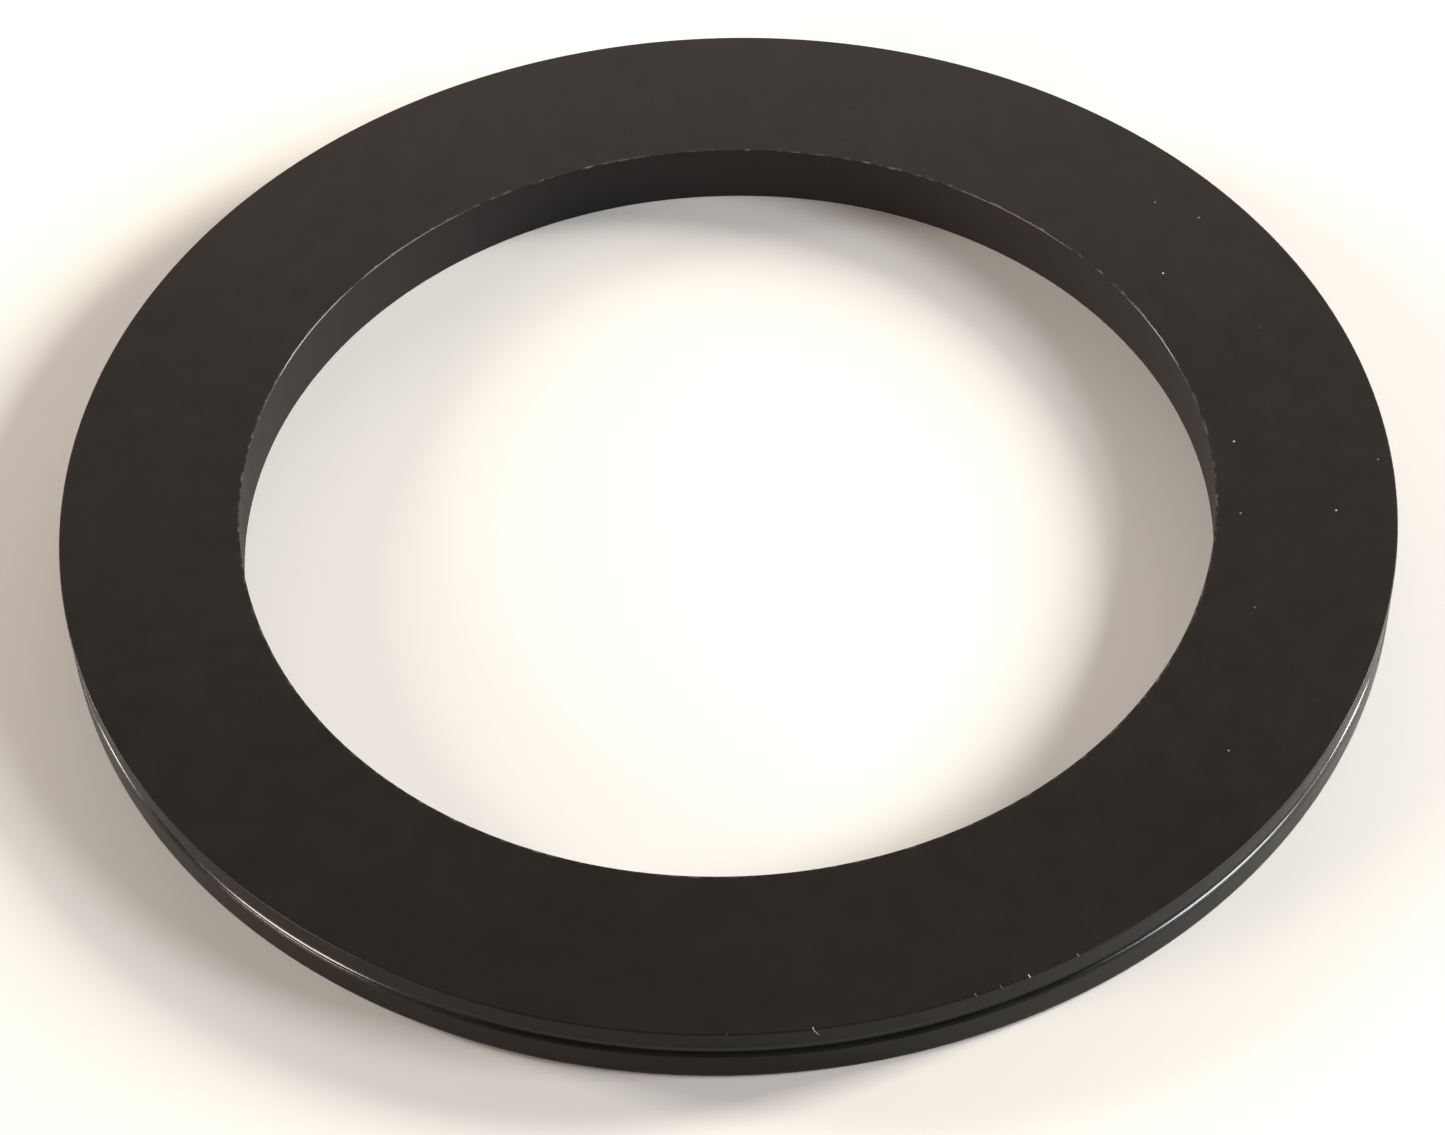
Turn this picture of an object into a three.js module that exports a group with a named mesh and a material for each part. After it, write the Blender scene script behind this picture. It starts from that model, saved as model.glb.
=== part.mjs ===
// A toilet flange ring: a flat black plastic ring with a plain bore, a rubber seal set in a narrow
// groove round its rim, and a second rubber seal let into its underside.
// Units are millimetres. +Z is up, and the origin is at the centre of the underside.

import * as THREE from 'three';

// Driving dimensions of the ring
const BORE_RADIUS = 55;
const RIM_RADIUS = 75.3;
const THICKNESS = 8;
// How far each wall leans away from the top face's edge over the whole thickness
const RIM_DRAFT = 0.2;
const BORE_DRAFT = 0.2;

// Broken edges of the ring
const RIM_TOP_ROUND = 0.2;
const RIM_BOTTOM_ROUND = 0.8;
const BORE_TOP_BEVEL = 0.15;
const BORE_BOTTOM_ROUND = 0.35;
const LIP_ROUND = 0.12;

// Rim groove, and the seal in it with a dished outer face
const RIM_GROOVE_BELOW_TOP = 3.2;
const RIM_GROOVE_WIDTH = 1.6;
const RIM_GROOVE_DEPTH = 2;
const RIM_SEAL_WIDTH = 1.4;
const RIM_SEAL_THICKNESS = 1.65;
const RIM_SEAL_SETBACK = 0.15;
const RIM_SEAL_ROUND = 0.12;
const DISH_WIDTH = 1.16;
const DISH_DEPTH = 0.42;
const DISH_SIDES = 6;

// Underside groove and its flat seal with two lips
const FLOOR_SEAL_RADIUS = 65;
const FLOOR_GROOVE_WIDTH = 6.4;
const FLOOR_GROOVE_DEPTH = 3.4;
const FLOOR_SEAL_WIDTH = 6;
const FLOOR_SEAL_HEIGHT = 3.1;
const FLOOR_SEAL_LIP_ROUND = 0.7;
const FLOOR_SEAL_VALLEY = 0.9;

// Straight sides in a full turn, and in each rounded corner
const TURN_SIDES = 96;
const ROUND_SIDES = 2;

const PLASTIC = new THREE.MeshStandardMaterial({ color: 0x272422, roughness: 0.38, metalness: 0 });
const RUBBER = new THREE.MeshStandardMaterial({ color: 0x171717, roughness: 0.5, metalness: 0 });

// Radius of the sloping rim wall and of the sloping bore wall at a height above the underside.
function rimRadiusAt(height) {
  return RIM_RADIUS - RIM_DRAFT * (1 - height / THICKNESS);
}

function boreRadiusAt(height) {
  return BORE_RADIUS + BORE_DRAFT * (1 - height / THICKNESS);
}

// One corner of a cross-section: its distance from the axis, its height, and how far it is rounded.
function corner(radius, height, round = 0) {
  return { point: new THREE.Vector2(radius, height), round };
}

// The points that replace a corner by an arc that meets both of its straight sides.
function roundedCorner(before, here, after) {
  if (here.round === 0) {
    return [here.point];
  }
  const toBefore = before.point.clone().sub(here.point).normalize();
  const toAfter = after.point.clone().sub(here.point).normalize();
  const halfAngle = Math.acos(toBefore.dot(toAfter)) / 2;
  const bisector = toBefore.clone().add(toAfter).normalize();
  const centre = here.point.clone().addScaledVector(bisector, here.round / Math.sin(halfAngle));
  const cutBack = here.round / Math.tan(halfAngle);
  const start = here.point.clone().addScaledVector(toBefore, cutBack).sub(centre);
  const end = here.point.clone().addScaledVector(toAfter, cutBack).sub(centre);
  const sweep = Math.atan2(start.cross(end), start.dot(end));
  const origin = new THREE.Vector2();
  const points = [];
  for (let side = 0; side <= ROUND_SIDES; side += 1) {
    points.push(start.clone().rotateAround(origin, (sweep * side) / ROUND_SIDES).add(centre));
  }
  return points;
}

// Turns a closed cross-section, given as corners, about the Z axis.
function turnedRing(name, corners, material) {
  const outline = corners.flatMap((here, index) => {
    const before = corners.at(index - 1);
    const after = corners[(index + 1) % corners.length];
    return roundedCorner(before, here, after);
  });
  const geometry = new THREE.LatheGeometry([...outline, outline[0].clone()], TURN_SIDES);
  geometry.rotateX(Math.PI / 2);
  const mesh = new THREE.Mesh(geometry, material);
  mesh.name = name;
  return mesh;
}

// Heights of the middle and of the two flanks of the rim groove.
const GROOVE_MIDDLE = THICKNESS - RIM_GROOVE_BELOW_TOP;
const GROOVE_LOW = GROOVE_MIDDLE - RIM_GROOVE_WIDTH / 2;
const GROOVE_HIGH = GROOVE_MIDDLE + RIM_GROOVE_WIDTH / 2;

// The ring's body, from the bore's lower edge outwards, up the rim and back over the top face.
function flangeRing() {
  const grooveFloor = rimRadiusAt(GROOVE_MIDDLE) - RIM_GROOVE_DEPTH;
  const floorGrooveInner = FLOOR_SEAL_RADIUS - FLOOR_GROOVE_WIDTH / 2;
  const floorGrooveOuter = FLOOR_SEAL_RADIUS + FLOOR_GROOVE_WIDTH / 2;
  return turnedRing('flange_ring', [
    corner(boreRadiusAt(0), 0, BORE_BOTTOM_ROUND),
    corner(floorGrooveInner, 0),
    corner(floorGrooveInner, FLOOR_GROOVE_DEPTH),
    corner(floorGrooveOuter, FLOOR_GROOVE_DEPTH),
    corner(floorGrooveOuter, 0),
    corner(rimRadiusAt(0), 0, RIM_BOTTOM_ROUND),
    corner(rimRadiusAt(GROOVE_LOW), GROOVE_LOW, LIP_ROUND),
    corner(grooveFloor, GROOVE_LOW),
    corner(grooveFloor, GROOVE_HIGH),
    corner(rimRadiusAt(GROOVE_HIGH), GROOVE_HIGH, LIP_ROUND),
    corner(RIM_RADIUS, THICKNESS, RIM_TOP_ROUND),
    corner(BORE_RADIUS + BORE_TOP_BEVEL, THICKNESS),
    corner(boreRadiusAt(THICKNESS - BORE_TOP_BEVEL), THICKNESS - BORE_TOP_BEVEL),
  ], PLASTIC);
}

// The rim seal: a rubber ring of nearly square section whose outer face is dished.
function rimSeal() {
  const face = rimRadiusAt(GROOVE_MIDDLE) - RIM_SEAL_SETBACK;
  const back = face - RIM_SEAL_THICKNESS;
  const low = GROOVE_MIDDLE - RIM_SEAL_WIDTH / 2;
  const high = GROOVE_MIDDLE + RIM_SEAL_WIDTH / 2;
  return turnedRing('rim_seal', [
    corner(back, low, RIM_SEAL_ROUND),
    corner(face, low, RIM_SEAL_ROUND),
    ...dishedFace(face, GROOVE_MIDDLE),
    corner(face, high, RIM_SEAL_ROUND),
    corner(back, high, RIM_SEAL_ROUND),
  ], RUBBER);
}

// Corners along the hollow arc in the seal's outer face, from its lower to its upper edge.
function dishedFace(face, middle) {
  const halfWidth = DISH_WIDTH / 2;
  const arcRadius = (halfWidth ** 2 + DISH_DEPTH ** 2) / (2 * DISH_DEPTH);
  const arcCentre = face + arcRadius - DISH_DEPTH;
  const halfSweep = Math.asin(halfWidth / arcRadius);
  return Array.from({ length: DISH_SIDES + 1 }, (_, side) => {
    const angle = halfSweep * ((2 * side) / DISH_SIDES - 1);
    return corner(arcCentre - arcRadius * Math.cos(angle), middle + arcRadius * Math.sin(angle));
  });
}

// The floor seal: a flat-backed ring with two lips that bear on the floor.
function floorSeal() {
  const inner = FLOOR_SEAL_RADIUS - FLOOR_SEAL_WIDTH / 2;
  const outer = FLOOR_SEAL_RADIUS + FLOOR_SEAL_WIDTH / 2;
  return turnedRing('floor_seal', [
    corner(inner, 0, FLOOR_SEAL_LIP_ROUND),
    corner(inner + FLOOR_SEAL_WIDTH / 3, 0, FLOOR_SEAL_LIP_ROUND),
    corner(FLOOR_SEAL_RADIUS, FLOOR_SEAL_VALLEY),
    corner(outer - FLOOR_SEAL_WIDTH / 3, 0, FLOOR_SEAL_LIP_ROUND),
    corner(outer, 0, FLOOR_SEAL_LIP_ROUND),
    corner(outer, FLOOR_SEAL_HEIGHT),
    corner(inner, FLOOR_SEAL_HEIGHT),
  ], RUBBER);
}

const flange = new THREE.Group();
flange.add(flangeRing(), rimSeal(), floorSeal());

export default flange;
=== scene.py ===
"""A black moulded flange ring, with a dished rubber seal round its rim and a flat seal underneath.

The ring's axis is Z, its underside lies on z = 0 and the viewer stands on the -Y side. Each ring
is turned from its own cross-section. The meshes are in metres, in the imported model's frame.
"""

import math

import bmesh
import bpy
from mathutils import Matrix, Vector, noise


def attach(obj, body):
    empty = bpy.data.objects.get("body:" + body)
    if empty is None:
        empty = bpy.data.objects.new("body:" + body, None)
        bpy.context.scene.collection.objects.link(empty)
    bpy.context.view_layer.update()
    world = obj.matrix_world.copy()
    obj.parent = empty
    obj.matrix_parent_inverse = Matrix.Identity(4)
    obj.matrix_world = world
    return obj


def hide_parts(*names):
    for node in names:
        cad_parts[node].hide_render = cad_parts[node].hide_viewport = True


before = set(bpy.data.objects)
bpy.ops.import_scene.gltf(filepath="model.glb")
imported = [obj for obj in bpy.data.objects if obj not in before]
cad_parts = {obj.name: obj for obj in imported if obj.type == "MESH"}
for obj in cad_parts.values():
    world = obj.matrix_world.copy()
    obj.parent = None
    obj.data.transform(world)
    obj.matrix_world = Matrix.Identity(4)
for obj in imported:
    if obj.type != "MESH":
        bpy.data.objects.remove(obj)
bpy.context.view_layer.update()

MM = 0.001

# ---- the object's dimensions, in millimetres ----

RIM_RADIUS = 75.27
THICKNESS = 8.0
BORE_RADIUS = 55.0
RIM_DRAFT = 0.15
BORE_DRAFT = 0.2
RIM_TOP_ROUND = 0.16
RIM_BOTTOM_ROUND = 0.8
BORE_BEVEL = 0.1
BORE_BEVEL_ROUND = 0.07
BORE_BOTTOM_ROUND = 0.35

RIM_GROOVE_LOW = 4.0
RIM_GROOVE_HIGH = 5.6
RIM_GROOVE_DEPTH = 2.0
RIM_GROOVE_LOW_LIP = 0.22
RIM_GROOVE_HIGH_LIP = 0.06

RIM_SEAL_GAP = 0.02
RIM_SEAL_BACK = 1.7
RIM_SEAL_SETBACK = 0.15
RIM_SEAL_LIP = 0.03
DISH_HALF_WIDTH = 0.72
DISH_DEPTH = 0.42
DISH_STEPS = 20

FLOOR_SEAL_RADIUS = 65.0
FLOOR_GROOVE_WIDTH = 6.4
FLOOR_GROOVE_DEPTH = 3.4
FLOOR_GROOVE_LIP = 0.15
FLOOR_SEAL_WIDTH = 6.0
FLOOR_SEAL_HEIGHT = 3.1
FLOOR_SEAL_RIDGE_FLAT = 2.0
FLOOR_SEAL_RIDGE_ROUND = 0.7
FLOOR_SEAL_VALLEY = 0.9
INNER_CORNER_ROUND = 0.1

# ---- the bore's top edge, scraped where the moulding flash was cut off ----

# From and to which azimuth in degrees, and the bevel's width there as a share of its height
SCRAPED_STRETCHES = (
    (17, 30, 1.0),
    (40, 59, 0.7),
    (122, 140, 1.0),
    (142, 158, 1.0),
)
SCRAPED_FADE_DEG = 3.0
SCRAPED_UNEVENNESS = 0.45
SCRAPED_RIPPLES = 19.0
UNSCRAPED_BEVEL = 0.35

# ---- mesh fineness ----

TURN_SIDES = 384
ROUND_STEPS = 6
HOLD_DISTANCE = 0.05

# ---- camera ----

LENS_MM = 111.853
SENSOR_MM = 36.0
CAMERA_PLACE = (-0.0008008, -0.3405231, 0.3835094)
CAMERA_DOWN_DEG = 48.816
CAMERA_ROLL_DEG = -2.270


# ---- cross-sections ----


def corner(radius, height, rounding=0.0):
    """A corner of a cross-section, with the radius of the round that softens it."""
    return {"at": Vector((radius, height)), "rounding": rounding}


def rounded_corner(before, here, after):
    """The points of the arc that replaces one corner, or the corner itself if it is sharp."""
    if here["rounding"] == 0.0:
        return [here["at"].copy()]
    to_before = (before["at"] - here["at"]).normalized()
    to_after = (after["at"] - here["at"]).normalized()
    half_angle = to_before.angle(to_after) / 2
    middle = (to_before + to_after).normalized()
    centre = here["at"] + middle * (here["rounding"] / math.sin(half_angle))
    tangent_length = here["rounding"] / math.tan(half_angle)
    start = here["at"] + to_before * tangent_length - centre
    end = here["at"] + to_after * tangent_length - centre
    sweep = math.atan2(start.x * end.y - start.y * end.x, start.dot(end))
    points = []
    for step in range(ROUND_STEPS + 1):
        turn = Matrix.Rotation(sweep * step / ROUND_STEPS, 2)
        points.append(centre + turn @ start)
    return points


def section(corners):
    """The closed outline of a cross-section with its corners rounded."""
    points = []
    count = len(corners)
    for i, here in enumerate(corners):
        points += rounded_corner(corners[i - 1], here, corners[(i + 1) % count])
    return points


def with_holding_points(points):
    """The outline with a point just inside each end of every flat, to keep its shading flat."""
    held = []
    count = len(points)
    for i, here in enumerate(points):
        after = points[(i + 1) % count]
        along = after - here
        held.append(here)
        if along.length > 4 * HOLD_DISTANCE:
            step = along.normalized() * HOLD_DISTANCE
            held.append(here + step)
            held.append(after - step)
    return held


def rim_radius_at(height):
    """The rim wall leans in a little towards the underside."""
    return RIM_RADIUS - RIM_DRAFT * (1 - height / THICKNESS)


def bore_radius_at(height):
    """The bore opens a little towards the underside."""
    return BORE_RADIUS + BORE_DRAFT * (1 - height / THICKNESS)


def flange_section():
    """The ring: flat top, seamless bore, a groove round the rim and one under the foot."""
    groove_floor = RIM_RADIUS - RIM_GROOVE_DEPTH
    inner = FLOOR_SEAL_RADIUS - FLOOR_GROOVE_WIDTH / 2
    outer = FLOOR_SEAL_RADIUS + FLOOR_GROOVE_WIDTH / 2
    bevel_foot = THICKNESS - BORE_BEVEL
    return section([
        corner(bore_radius_at(0), 0, BORE_BOTTOM_ROUND),
        corner(inner, 0, FLOOR_GROOVE_LIP),
        corner(inner, FLOOR_GROOVE_DEPTH, INNER_CORNER_ROUND),
        corner(outer, FLOOR_GROOVE_DEPTH, INNER_CORNER_ROUND),
        corner(outer, 0, FLOOR_GROOVE_LIP),
        corner(rim_radius_at(0), 0, RIM_BOTTOM_ROUND),
        corner(rim_radius_at(RIM_GROOVE_LOW), RIM_GROOVE_LOW, RIM_GROOVE_LOW_LIP),
        corner(groove_floor, RIM_GROOVE_LOW, INNER_CORNER_ROUND),
        corner(groove_floor, RIM_GROOVE_HIGH, INNER_CORNER_ROUND),
        corner(rim_radius_at(RIM_GROOVE_HIGH), RIM_GROOVE_HIGH, RIM_GROOVE_HIGH_LIP),
        corner(RIM_RADIUS, THICKNESS, RIM_TOP_ROUND),
        corner(BORE_RADIUS + BORE_BEVEL, THICKNESS, BORE_BEVEL_ROUND),
        corner(bore_radius_at(bevel_foot), bevel_foot, BORE_BEVEL_ROUND),
    ])


def dish_points(face, middle):
    """The hollow outer face of the rim seal, from its low edge to its high edge."""
    arc_radius = (DISH_HALF_WIDTH**2 + DISH_DEPTH**2) / (2 * DISH_DEPTH)
    arc_centre = face + arc_radius - DISH_DEPTH
    half_angle = math.asin(DISH_HALF_WIDTH / arc_radius)
    points = []
    for step in range(DISH_STEPS + 1):
        angle = half_angle * (2 * step / DISH_STEPS - 1)
        radius = arc_centre - arc_radius * math.cos(angle)
        points.append(Vector((radius, middle + arc_radius * math.sin(angle))))
    return points


def rim_seal_section():
    """A rubber ring, nearly square in section, whose outer face is hollowed to a smooth dish."""
    low = RIM_GROOVE_LOW + RIM_SEAL_GAP
    high = RIM_GROOVE_HIGH - RIM_SEAL_GAP
    middle = (low + high) / 2
    face = rim_radius_at(middle) - RIM_SEAL_SETBACK
    back = face - RIM_SEAL_BACK
    dish = dish_points(face, middle)
    low_start = corner(back, low, INNER_CORNER_ROUND)
    low_edge = corner(face, low, RIM_SEAL_LIP)
    high_edge = corner(face, high, RIM_SEAL_LIP)
    high_end = corner(back, high, INNER_CORNER_ROUND)
    dish_low = corner(dish[0].x, dish[0].y)
    dish_high = corner(dish[-1].x, dish[-1].y)
    points = rounded_corner(high_end, low_start, low_edge)
    points += rounded_corner(low_start, low_edge, dish_low)
    points += dish
    points += rounded_corner(dish_high, high_edge, high_end)
    points += rounded_corner(high_edge, high_end, low_start)
    return points


def floor_seal_section():
    """A flat rubber ring with two rounded ridges that press on the floor."""
    inner = FLOOR_SEAL_RADIUS - FLOOR_SEAL_WIDTH / 2
    outer = FLOOR_SEAL_RADIUS + FLOOR_SEAL_WIDTH / 2
    ridge_inner = inner + FLOOR_SEAL_RIDGE_FLAT
    ridge_outer = outer - FLOOR_SEAL_RIDGE_FLAT
    return section([
        corner(inner, 0, FLOOR_SEAL_RIDGE_ROUND),
        corner(ridge_inner, 0, FLOOR_SEAL_RIDGE_ROUND),
        corner(FLOOR_SEAL_RADIUS, FLOOR_SEAL_VALLEY, FLOOR_SEAL_RIDGE_ROUND / 2),
        corner(ridge_outer, 0, FLOOR_SEAL_RIDGE_ROUND),
        corner(outer, 0, FLOOR_SEAL_RIDGE_ROUND),
        corner(outer, FLOOR_SEAL_HEIGHT, INNER_CORNER_ROUND),
        corner(inner, FLOOR_SEAL_HEIGHT, INNER_CORNER_ROUND),
    ])


# ---- meshes ----


def scraped_amount(azimuth):
    """How far the bore's top edge was scraped there, from 0 to 1, and the bevel's lean."""
    degrees = math.degrees(azimuth)
    for start, end, lean in SCRAPED_STRETCHES:
        inside = min(degrees - start, end - degrees) / SCRAPED_FADE_DEG
        if inside > 0:
            return min(1.0, inside), lean
    return 0.0, 1.0


def uneven_bevel(radius, height, azimuth):
    """The bore's top edge has a bevel where it was scraped, and is nearly sharp elsewhere."""
    sharp_edge = Vector((BORE_RADIUS, THICKNESS))
    point = Vector((radius, height))
    if (point - sharp_edge).length > 2 * BORE_BEVEL:
        return point
    around = Vector((math.cos(azimuth), math.sin(azimuth), 0))
    ripple = 1 + SCRAPED_UNEVENNESS * noise.noise(around * SCRAPED_RIPPLES)
    amount, lean = scraped_amount(azimuth)
    depth = UNSCRAPED_BEVEL + (1 - UNSCRAPED_BEVEL) * amount * ripple
    offset = point - sharp_edge
    return sharp_edge + Vector((offset.x * lean, offset.y)) * depth


def as_made(radius, height, azimuth):
    """The outline's own point."""
    return Vector((radius, height))


def turned_ring(name, outline, shape=as_made):
    """A closed ring mesh: the outline turned about Z, with smooth shading."""
    outline = with_holding_points(outline)
    built = bmesh.new()
    loops = []
    for side in range(TURN_SIDES):
        azimuth = 2 * math.pi * side / TURN_SIDES
        loop = []
        for point in outline:
            radius, height = shape(point.x, point.y, azimuth)
            x = radius * math.cos(azimuth) * MM
            y = radius * math.sin(azimuth) * MM
            loop.append(built.verts.new((x, y, height * MM)))
        loops.append(loop)
    count = len(outline)
    for side in range(TURN_SIDES):
        here = loops[side]
        there = loops[(side + 1) % TURN_SIDES]
        for i in range(count):
            j = (i + 1) % count
            built.faces.new((here[i], there[i], there[j], here[j]))
    bmesh.ops.recalc_face_normals(built, faces=built.faces)
    for face in built.faces:
        face.smooth = True
    mesh = bpy.data.meshes.new(name)
    built.to_mesh(mesh)
    built.free()
    piece = bpy.data.objects.new(name, mesh)
    bpy.context.scene.collection.objects.link(piece)
    return piece


# ---- materials ----

# Colours are linear RGBA. A pair of numbers is a range, and lengths are in millimetres.
PLASTIC_DEEP = (0.0066, 0.0058, 0.0050, 1)
PLASTIC_WARM = (0.0076, 0.0066, 0.0056, 1)
PLASTIC_WORN = (0.16, 0.15, 0.14, 1)
PLASTIC_DULL = (0.0115, 0.0102, 0.0102, 1)
MARK_PALE = (0.75, 0.72, 0.68, 1)
# Both rubber tones are the rubber's own black, deepened below the plastic's as painted shade where
# the rim seal sits in its groove.
RUBBER_DEEP_AND_SHADE = (0.0020, 0.0020, 0.0021, 1)
RUBBER_BLOOM = (0.0036, 0.0035, 0.0034, 1)

# Noise patterns: waves per metre, levels of detail, and how rough the detail is
SWIRL = (38.0, 4.0, 0.55)
GRAIN = (2600.0, 2.0, 0.6)
SMEAR = (260.0, 4.0, 0.6)
SCUFFS = (900.0, 3.0, 0.65)
BLOOM = (120.0, 5.0, 0.6)
SKIN = (1800.0, 3.0, 0.6)

# The part of each pattern's 0 to 1 over which its change is made
SWIRL_RANGE = (0.35, 0.65)
SMEAR_RANGE = (0.3, 0.7)
SCUFF_RANGE = (0.45, 0.75)
BLOOM_COLOUR_RANGE = (0.4, 0.7)
BLOOM_GLOSS_RANGE = (0.3, 0.7)

PLASTIC_SPECULAR = 0.12
SCRAPED_SPECULAR = 0.3
RUBBER_SPECULAR = 0.35
PLASTIC_ROUGHNESS = (0.30, 0.36)
RUBBER_ROUGHNESS = (0.18, 0.24)
WEAR_ROUGHNESS = 0.15
BORE_WALL_ROUGHNESS = 0.35

# Fine relief: how much grain is in it, and its strength and depth
GRAIN_SHARE = 0.6
PLASTIC_BUMP = (0.5, 0.03)
RUBBER_BUMP = (0.3, 0.02)

# Wear on the bore's top edge, and where the duller bore wall ends
WEAR_REACH = 0.25
WEAR_PALENESS = 0.6
BORE_WALL_OUTSIDE = (BORE_RADIUS + 0.55, BORE_RADIUS + 0.75)
BORE_WALL_TOP = (THICKNESS - 0.12, THICKNESS - 0.04)

# Pale specks on the right of the top face, at most one in each cell. Cells are counted per
# metre, a cell's draw decides whether it has one, and the speck's edge is in cells.
SPECK_CELLS = 190.0
SPECK_DRAW = (0.86, 0.94)
SPECK_EDGE = (0.012, 0.03)
SPECK_STRENGTH = (0.12, 0.5)
SPECK_FROM_X = (40, 52)
FACING_UP = (0.3, 0.6)

# Short nicks on the near right of the rim's top, at most one in each cell. Cells are counted
# per radian of azimuth, and the nicks slant by so many radians per metre of height.
NICK_CELLS = 26.0
NICK_SLANT = 7.0
NICK_DRAW = (0.62, 1.0)
NICK_EDGE = (0.008, 0.026)
NICK_STRENGTH = (0.12, 0.6)
NICK_FOOT = (6.8, 7.8)
NICK_RADIUS = (74.9, 75.05)
NICK_FROM_X = (-4, 4)
NICK_UP_TO_Y = (-62, -56)


def in_metres(span_mm):
    """Both ends of a range of lengths, in metres."""
    return [end * MM for end in span_mm]


class Nodes:
    """A small helper that adds and joins the nodes of one material."""

    def __init__(self, name):
        self.material = bpy.data.materials.new(name)
        self.material.use_nodes = True
        self.tree = self.material.node_tree
        self.shader = self.tree.nodes["Principled BSDF"]

    def add(self, kind, inputs=None, **settings):
        """A new node with its settings, and numbers or links for its inputs."""
        node = self.tree.nodes.new(kind)
        for name, value in settings.items():
            setattr(node, name, value)
        for key, value in (inputs or {}).items():
            self.put(node.inputs[key], value)
        return node

    def put(self, socket, value):
        """Gives a socket a number or colour, or links it to an output."""
        if isinstance(value, bpy.types.NodeSocket):
            self.tree.links.new(value, socket)
        else:
            socket.default_value = value

    def place(self):
        """The point's own place on the object."""
        return self.add("ShaderNodeTexCoord").outputs["Object"]

    def parts(self, vector):
        """The three numbers of a vector."""
        return self.add("ShaderNodeSeparateXYZ", {0: vector}).outputs

    def draws(self, cells):
        """The three random numbers that belong to a cell."""
        return self.add("ShaderNodeSeparateColor", {0: cells.outputs["Color"]}).outputs

    def math(self, operation, a, b=0.0):
        """One sum on two values."""
        return self.add("ShaderNodeMath", {0: a, 1: b}, operation=operation).outputs[0]

    def product(self, first, *others):
        """Several values multiplied together."""
        result = first
        for other in others:
            result = self.math("MULTIPLY", result, other)
        return result

    def distance(self, a, b):
        """The length of a step of a one way and b the other."""
        square = self.math("ADD", self.product(a, a), self.product(b, b))
        return self.math("SQRT", square)

    def noise(self, place, scale, detail, roughness):
        """Noise from 0 to 1."""
        inputs = {"Vector": place, "Scale": scale, "Detail": detail, "Roughness": roughness}
        return self.add("ShaderNodeTexNoise", inputs).outputs["Fac"]

    def ramp(self, value, low, high, to_low=0.0, to_high=1.0):
        """A smooth change from to_low to to_high as the value goes from low to high."""
        inputs = {"Value": value, "From Min": low, "From Max": high}
        inputs.update({"To Min": to_low, "To Max": to_high})
        node = self.add("ShaderNodeMapRange", inputs, interpolation_type="SMOOTHSTEP")
        return node.outputs["Result"]

    def fall(self, value, low, high):
        """A smooth change from 1 to 0 as the value goes from low to high."""
        return self.ramp(value, low, high, 1.0, 0.0)

    def mix(self, factor, a, b):
        """A blend of two colours."""
        node = self.add("ShaderNodeMix", data_type="RGBA")
        self.put(node.inputs["Factor"], factor)
        self.put(node.inputs[6], a)
        self.put(node.inputs[7], b)
        return node.outputs[2]

    def bump(self, height, strength, depth_mm):
        """The normals of a fine relief."""
        inputs = {"Height": height, "Strength": strength, "Distance": depth_mm * MM}
        return self.add("ShaderNodeBump", inputs).outputs["Normal"]

    def finish(self, colour, roughness, normal, specular):
        """Joins the looks to the shader."""
        self.put(self.shader.inputs["Base Color"], colour)
        self.put(self.shader.inputs["Roughness"], roughness)
        self.put(self.shader.inputs["Normal"], normal)
        self.shader.inputs["Specular IOR Level"].default_value = specular
        return self.material


def edge_wear(nodes, place, radius, height):
    """Broken scuffs along the bore's top edge, from 0 to 1."""
    across = nodes.math("SUBTRACT", radius, (BORE_RADIUS + BORE_BEVEL) * MM)
    along = nodes.math("SUBTRACT", height, (THICKNESS - BORE_BEVEL) * MM)
    on_edge = nodes.fall(nodes.distance(across, along), 0.0, WEAR_REACH * MM)
    scuffs = nodes.noise(place, *SCUFFS)
    return nodes.product(on_edge, nodes.ramp(scuffs, *SCUFF_RANGE))


def bore_wall_mask(nodes, radius, height):
    """1 on the wall of the bore below its bevel, 0 elsewhere."""
    inside = nodes.fall(radius, *in_metres(BORE_WALL_OUTSIDE))
    below = nodes.fall(height, *in_metres(BORE_WALL_TOP))
    return nodes.product(inside, below)


def top_specks(nodes, place):
    """A few pale specks of differing strength on the right of the top face."""
    inputs = {"Vector": place, "Scale": SPECK_CELLS}
    cells = nodes.add("ShaderNodeTexVoronoi", inputs, voronoi_dimensions="2D")
    draws = nodes.draws(cells)
    chosen = nodes.ramp(draws[0], *SPECK_DRAW)
    dot = nodes.fall(cells.outputs["Distance"], *SPECK_EDGE)
    strength = nodes.ramp(draws[1], 0.0, 1.0, *SPECK_STRENGTH)
    right = nodes.ramp(nodes.parts(place)[0], *in_metres(SPECK_FROM_X))
    normal = nodes.add("ShaderNodeNewGeometry").outputs["Normal"]
    on_top = nodes.ramp(nodes.parts(normal)[2], *FACING_UP)
    return nodes.product(chosen, dot, strength, on_top, right)


def rim_nicks(nodes, place, radius, height):
    """A few short nicks of differing strength on the top of the rim, on the near right side."""
    x, y, _ = nodes.parts(place)
    azimuth = nodes.math("ARCTAN2", y, x)
    along = nodes.math("ADD", azimuth, nodes.product(height, NICK_SLANT))
    inputs = {"W": along, "Scale": NICK_CELLS}
    cells = nodes.add("ShaderNodeTexVoronoi", inputs, voronoi_dimensions="1D")
    draws = nodes.draws(cells)
    chosen = nodes.ramp(draws[0], *NICK_DRAW)
    stroke = nodes.fall(cells.outputs["Distance"], *NICK_EDGE)
    strength = nodes.ramp(draws[2], 0.0, 1.0, *NICK_STRENGTH)
    foot = nodes.ramp(draws[1], 0.0, 1.0, *in_metres(NICK_FOOT))
    above_foot = nodes.math("GREATER_THAN", height, foot)
    on_rim = nodes.ramp(radius, *in_metres(NICK_RADIUS))
    near = nodes.fall(y, *in_metres(NICK_UP_TO_Y))
    right = nodes.ramp(x, *in_metres(NICK_FROM_X))
    return nodes.product(chosen, stroke, strength, above_foot, on_rim, near, right)


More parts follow.
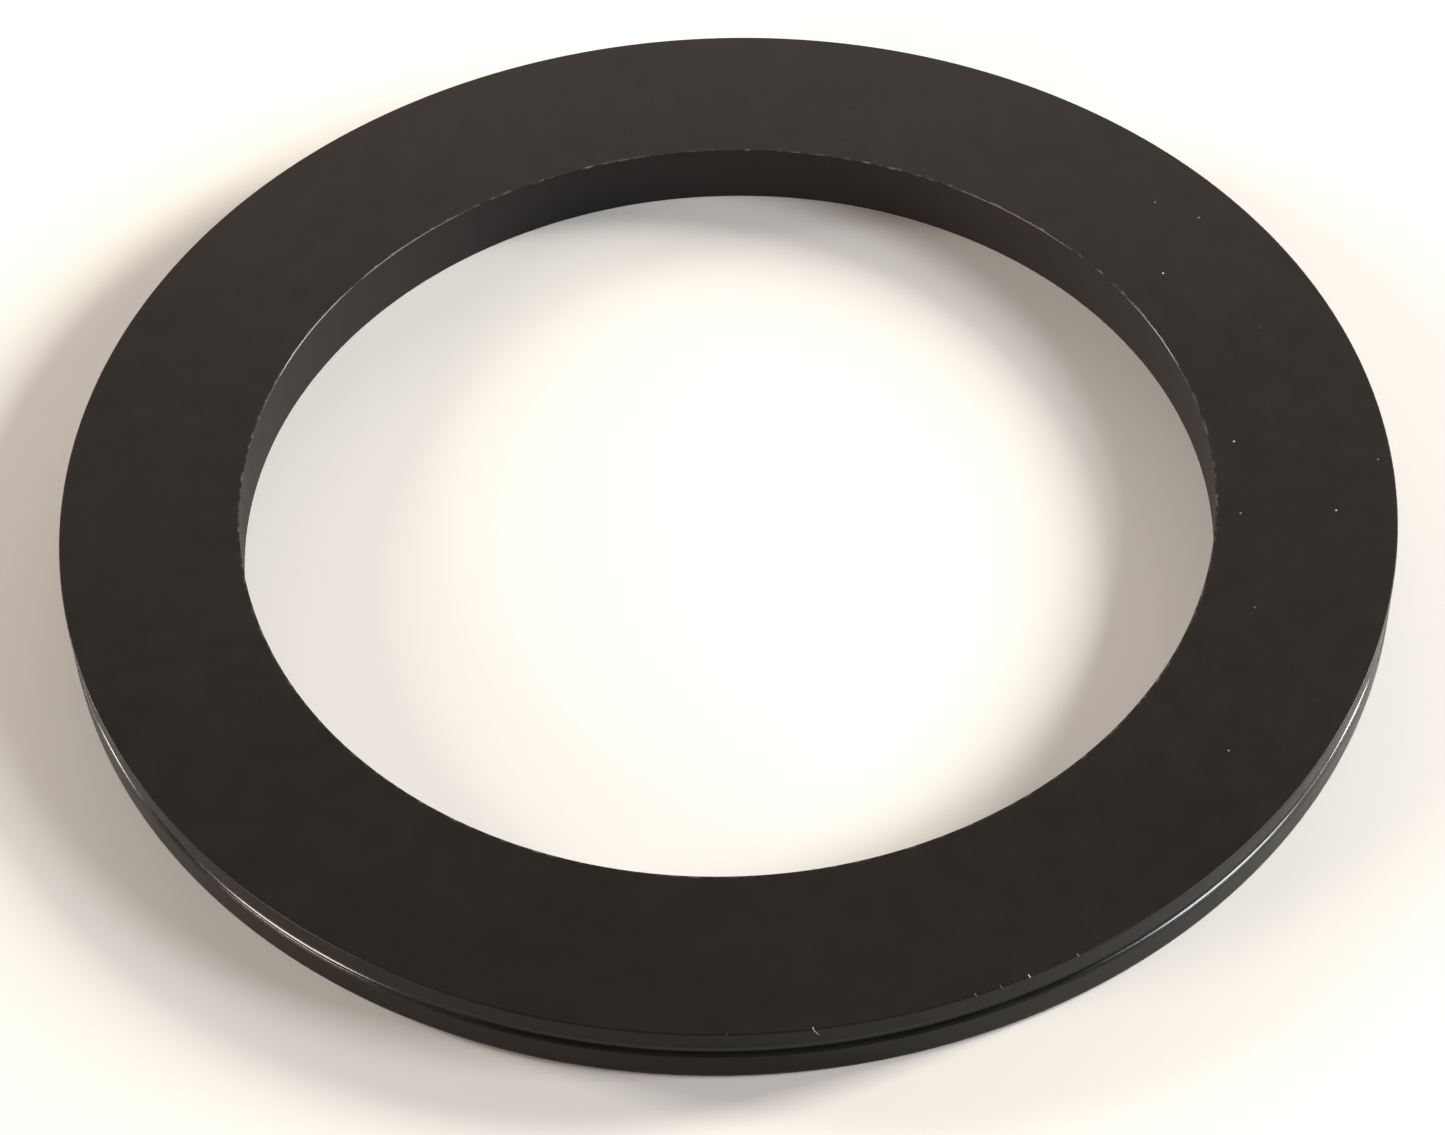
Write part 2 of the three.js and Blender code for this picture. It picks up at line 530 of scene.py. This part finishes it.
def ring_plastic(name, specular):
    """Black moulded plastic with a satin skin, faint swirls, a fine grain and a few pale marks."""
    nodes = Nodes(name)
    place = nodes.place()
    x, y, height = nodes.parts(place)
    radius = nodes.distance(x, y)
    swirl = nodes.noise(place, *SWIRL)
    grain = nodes.noise(place, *GRAIN)
    smear = nodes.noise(place, *SMEAR)
    wear = edge_wear(nodes, place, radius, height)
    bore_wall = bore_wall_mask(nodes, radius, height)
    specks = top_specks(nodes, place)
    nicks = rim_nicks(nodes, place, radius, height)

    body = nodes.mix(nodes.ramp(swirl, *SWIRL_RANGE), PLASTIC_DEEP, PLASTIC_WARM)
    worn = nodes.mix(nodes.product(wear, WEAR_PALENESS), body, PLASTIC_WORN)
    dulled = nodes.mix(bore_wall, worn, PLASTIC_DULL)
    colour = nodes.mix(nodes.math("MAXIMUM", specks, nicks), dulled, MARK_PALE)

    rough = nodes.ramp(smear, *SMEAR_RANGE, *PLASTIC_ROUGHNESS)
    rough = nodes.math("ADD", rough, nodes.product(wear, WEAR_ROUGHNESS))
    rough = nodes.math("ADD", rough, nodes.product(bore_wall, BORE_WALL_ROUGHNESS))

    relief = nodes.math("ADD", nodes.product(grain, GRAIN_SHARE), smear)
    normal = nodes.bump(relief, *PLASTIC_BUMP)
    return nodes.finish(colour, rough, normal, specular)


def seal_rubber():
    """Black rubber with a slight bloom and the fine skin that the mould gave it, darkened further
    as painted shade for the rim groove.
    """
    nodes = Nodes("seal_rubber")
    place = nodes.place()
    bloom = nodes.noise(place, *BLOOM)
    skin = nodes.noise(place, *SKIN)
    colour = nodes.mix(nodes.ramp(bloom, *BLOOM_COLOUR_RANGE), RUBBER_DEEP_AND_SHADE, RUBBER_BLOOM)
    rough = nodes.ramp(bloom, *BLOOM_GLOSS_RANGE, *RUBBER_ROUGHNESS)
    normal = nodes.bump(skin, *RUBBER_BUMP)
    return nodes.finish(colour, rough, normal, RUBBER_SPECULAR)


# ---- pieces ----

# A face of the bevel, in millimetres: how far out and how high it lies, and how steep it is
BEVEL_OUTSIDE = BORE_RADIUS + 1.5 * BORE_BEVEL
BEVEL_BOTTOM = 7.0
BEVEL_STEEPNESS = (0.25, 0.97)


def add_piece(name, outline, material, node, shape=as_made):
    """One visible ring that stands for its CAD node."""
    piece = turned_ring(name, outline, shape)
    piece.data.materials.append(material)
    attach(piece, "root")
    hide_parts(node)
    return piece


def show_scraped_edge(ring, material):
    """Gives the scraped stretches of the bore's top edge a material of their own."""
    ring.data.materials.append(material)
    least_steep, most_steep = BEVEL_STEEPNESS
    for face in ring.data.polygons:
        radius = math.hypot(face.center.x, face.center.y) / MM
        steepness = math.hypot(face.normal.x, face.normal.y)
        on_edge = radius < BEVEL_OUTSIDE and face.center.z > BEVEL_BOTTOM * MM
        on_bevel = on_edge and least_steep < steepness < most_steep
        amount, _ = scraped_amount(math.atan2(face.center.y, face.center.x))
        if on_bevel and amount > 0:
            face.material_index = 1


plastic = ring_plastic("ring_plastic", PLASTIC_SPECULAR)
scraped = ring_plastic("scraped_plastic_edge", SCRAPED_SPECULAR)
rubber = seal_rubber()
ring = flange_section()
body = add_piece("flange_body", ring, plastic, "flange_ring", uneven_bevel)
show_scraped_edge(body, scraped)
add_piece("dished_rim_seal", rim_seal_section(), rubber, "rim_seal")
add_piece("ridged_floor_seal", floor_seal_section(), rubber, "floor_seal")


# ---- stage, lights and camera ----

FLOOR_SIZE = 6.0
FLOOR_SQUARES = 8
FLOOR_COLOUR = (0.47, 0.463, 0.452, 1)
FLOOR_ROUGHNESS = 0.9
FLOOR_SPECULAR = 0.1
ROOM_COLOUR = (0.12, 0.117, 0.11, 1)

# Softboxes: name, azimuth, elevation, width and height in degrees, radiance and colour
LIGHT_DISTANCE = 1.6
SOFTBOXES = (
    ("window_left", 204, 13, 19, 14, 49.0, (1.0, 0.83, 0.71)),
    ("window_right", 345, 28, 20, 20, 34.0, (0.97, 0.98, 1.0)),
    ("lamp_far_right", 17, 22, 12, 20, 105.0, (1.0, 0.95, 0.85)),
    ("lamp_far_left", 161, 16, 11, 20, 66.0, (1.0, 0.94, 0.86)),
    ("wall_right_back", 50, 28, 26, 26, 0.8, (1.0, 0.94, 0.88)),
    ("wall_behind", 90, 25, 60, 26, 4.3, (1.0, 0.86, 0.78)),
)


def add_floor():
    """A plain pale floor under the ring."""
    built = bmesh.new()
    squares = FLOOR_SQUARES
    bmesh.ops.create_grid(built, x_segments=squares, y_segments=squares, size=FLOOR_SIZE / 2)
    mesh = bpy.data.meshes.new("pale_floor")
    built.to_mesh(mesh)
    built.free()
    floor = bpy.data.objects.new("pale_floor", mesh)
    bpy.context.scene.collection.objects.link(floor)
    nodes = Nodes("floor_paint")
    nodes.shader.inputs["Base Color"].default_value = FLOOR_COLOUR
    nodes.shader.inputs["Roughness"].default_value = FLOOR_ROUGHNESS
    nodes.shader.inputs["Specular IOR Level"].default_value = FLOOR_SPECULAR
    mesh.materials.append(nodes.material)


def add_softbox(name, azimuth_deg, elevation_deg, wide_deg, tall_deg, radiance, colour):
    """A rectangular soft light that faces the ring and fills the given angles of its view."""
    width = 2 * LIGHT_DISTANCE * math.tan(math.radians(wide_deg / 2))
    height = 2 * LIGHT_DISTANCE * math.tan(math.radians(tall_deg / 2))
    lamp = bpy.data.lights.new(name, "AREA")
    lamp.shape = "RECTANGLE"
    lamp.size = width
    lamp.size_y = height
    lamp.energy = radiance * math.pi * width * height
    lamp.color = colour
    azimuth = math.radians(azimuth_deg)
    elevation = math.radians(elevation_deg)
    away = Vector((
        math.cos(azimuth) * math.cos(elevation),
        math.sin(azimuth) * math.cos(elevation),
        math.sin(elevation),
    ))
    light = bpy.data.objects.new(name, lamp)
    light.location = away * LIGHT_DISTANCE
    light.rotation_euler = away.to_track_quat("Z", "Y").to_euler()
    bpy.context.scene.collection.objects.link(light)


def add_room():
    """Dim even light from the rest of the room."""
    world = bpy.data.worlds.new("room")
    world.use_nodes = True
    bpy.context.scene.world = world
    background = world.node_tree.nodes["Background"]
    background.inputs["Color"].default_value = ROOM_COLOUR
    background.inputs["Strength"].default_value = 1.0


def add_camera():
    """The camera looks along +Y and down at the ring, a little rolled."""
    data = bpy.data.cameras.new("camera")
    data.sensor_width = SENSOR_MM
    data.lens = LENS_MM
    camera = bpy.data.objects.new("camera", data)
    tilt = Matrix.Rotation(math.radians(90 - CAMERA_DOWN_DEG), 4, "X")
    roll = Matrix.Rotation(math.radians(CAMERA_ROLL_DEG), 4, "Z")
    camera.matrix_world = Matrix.Translation(CAMERA_PLACE) @ tilt @ roll
    bpy.context.scene.collection.objects.link(camera)
    bpy.context.scene.camera = camera


add_floor()
add_room()
for softbox in SOFTBOXES:
    add_softbox(*softbox)
add_camera()
bpy.context.scene.view_settings.view_transform = "Standard"
